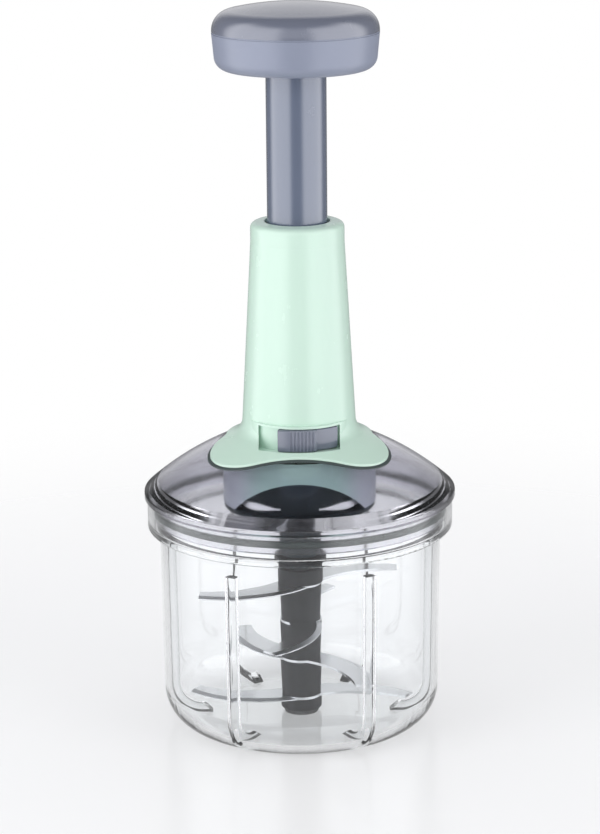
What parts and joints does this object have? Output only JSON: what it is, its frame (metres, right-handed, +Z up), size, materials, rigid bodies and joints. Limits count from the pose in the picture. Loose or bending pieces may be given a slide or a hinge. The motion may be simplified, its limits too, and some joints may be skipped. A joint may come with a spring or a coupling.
{
  "type": "plunger food chopper",
  "caption": "Hand food chopper: a clear bowl, a domed see-through lid with a tower, and a palm knob whose stem spins a stack of S-shaped blades when pressed.",
  "frame": {"origin": "centre of the bowl's flat underside", "axes": "+Z up along the stem and blade axis, -Y towards the front, where the catch is"},
  "size_m": [0.1412, 0.1412, 0.3303],
  "materials": {
    "clear_plastic": "clear moulded styrene acrylonitrile, polished",
    "smoked_plastic": "smoke-grey see-through moulding, polished",
    "mint_plastic": "pale mint moulding, glossy",
    "collar_plastic": "pale grey moulding, satin",
    "blue_plastic": "blue-grey moulding, satin gloss",
    "catch_plastic": "dark blue-grey moulding, satin",
    "dark_plastic": "dark grey moulding, satin",
    "bearing_plastic": "natural acetal",
    "seal_rubber": "dark silicone",
    "blade_steel": "polished stainless sheet with a ground edge",
    "shaft_steel": "drawn stainless bar",
    "fastener_steel": "zinc-plated",
    "spring_steel": "spring wire"
  },
  "bodies": {
    "bowl": {"bowl": "clear_plastic", "pivot_pin": "shaft_steel"},
    "lid": {"lid_dome": "smoked_plastic", "lid_gasket": "seal_rubber", "foot_gasket": "seal_rubber", "tower_shell": "mint_plastic", "stem_bush": "bearing_plastic", "drum_collar": "collar_plastic", "drive_housing": "dark_plastic", "housing_cap": "dark_plastic", "housing_screws": "fastener_steel", "screw_bush": "bearing_plastic", "thrust_washer": "bearing_plastic", "spring_washer": "shaft_steel", "neck_bushes": "bearing_plastic"},
    "plunger": {"plunger_stem": "blue_plastic", "knob_body": "blue_plastic", "knob_cap": "blue_plastic", "knob_screw": "fastener_steel", "knob_washer": "fastener_steel", "drive_nut": "bearing_plastic", "nut_screws": "fastener_steel", "return_spring": "spring_steel"},
    "catch": {"catch_ring": "catch_plastic", "catch_pad": "catch_plastic"},
    "bar": {"drive_screw": "shaft_steel", "pawl_disc": "bearing_plastic", "driver_pin": "shaft_steel"},
    "output": {"ratchet_drum": "bearing_plastic", "output_shaft": "shaft_steel", "drive_coupling": "dark_plastic", "coupling_screw": "fastener_steel"},
    "blades": {"blade_spindle": "dark_plastic", "blade_1": "blade_steel", "blade_2": "blade_steel", "blade_3": "blade_steel", "blade_4": "blade_steel", "hub_spacer_1": "dark_plastic", "hub_spacer_2": "dark_plastic", "hub_spacer_3": "dark_plastic", "spindle_foot": "dark_plastic"}
  },
  "joints": [
    {"name": "lid_lift", "type": "slide", "parent": "bowl", "child": "lid", "axis": [0, 0, 1], "range_m": [0, 0.12]},
    {"name": "plunger_press", "type": "slide", "parent": "lid", "child": "plunger", "axis": [0, 0, -1], "range_m": [0, 0.0667], "stiffness_N_per_m": 250, "springref_m": -0.03, "deforming": ["return_spring"]},
    {"name": "catch_turn", "type": "hinge", "parent": "lid", "child": "catch", "pos_m": [0, 0, 0.1396], "axis": [0, 0, 1], "range_deg": [-17.5, 0]},
    {"name": "bar_spin", "type": "hinge", "parent": "lid", "child": "bar", "pos_m": [0, 0, 0.1169], "axis": [0, 0, 1], "range_deg": [0, 720.5]},
    {"name": "output_spin", "type": "hinge", "parent": "lid", "child": "output", "pos_m": [0, 0, 0.1052], "axis": [0, 0, 1], "range_deg": [0, 720.5]},
    {"name": "blade_spin", "type": "hinge", "parent": "bowl", "child": "blades", "pos_m": [0, 0, 0.005], "axis": [0, 0, 1], "range_deg": [0, 720.5]}
  ],
  "couplings": [
    {"joint": "bar_spin", "follows": "plunger_press", "rad_per_m": 188.4},
    {"joint": "output_spin", "follows": "plunger_press", "rad_per_m": 188.4},
    {"joint": "blade_spin", "follows": "plunger_press", "rad_per_m": 188.4}
  ]
}
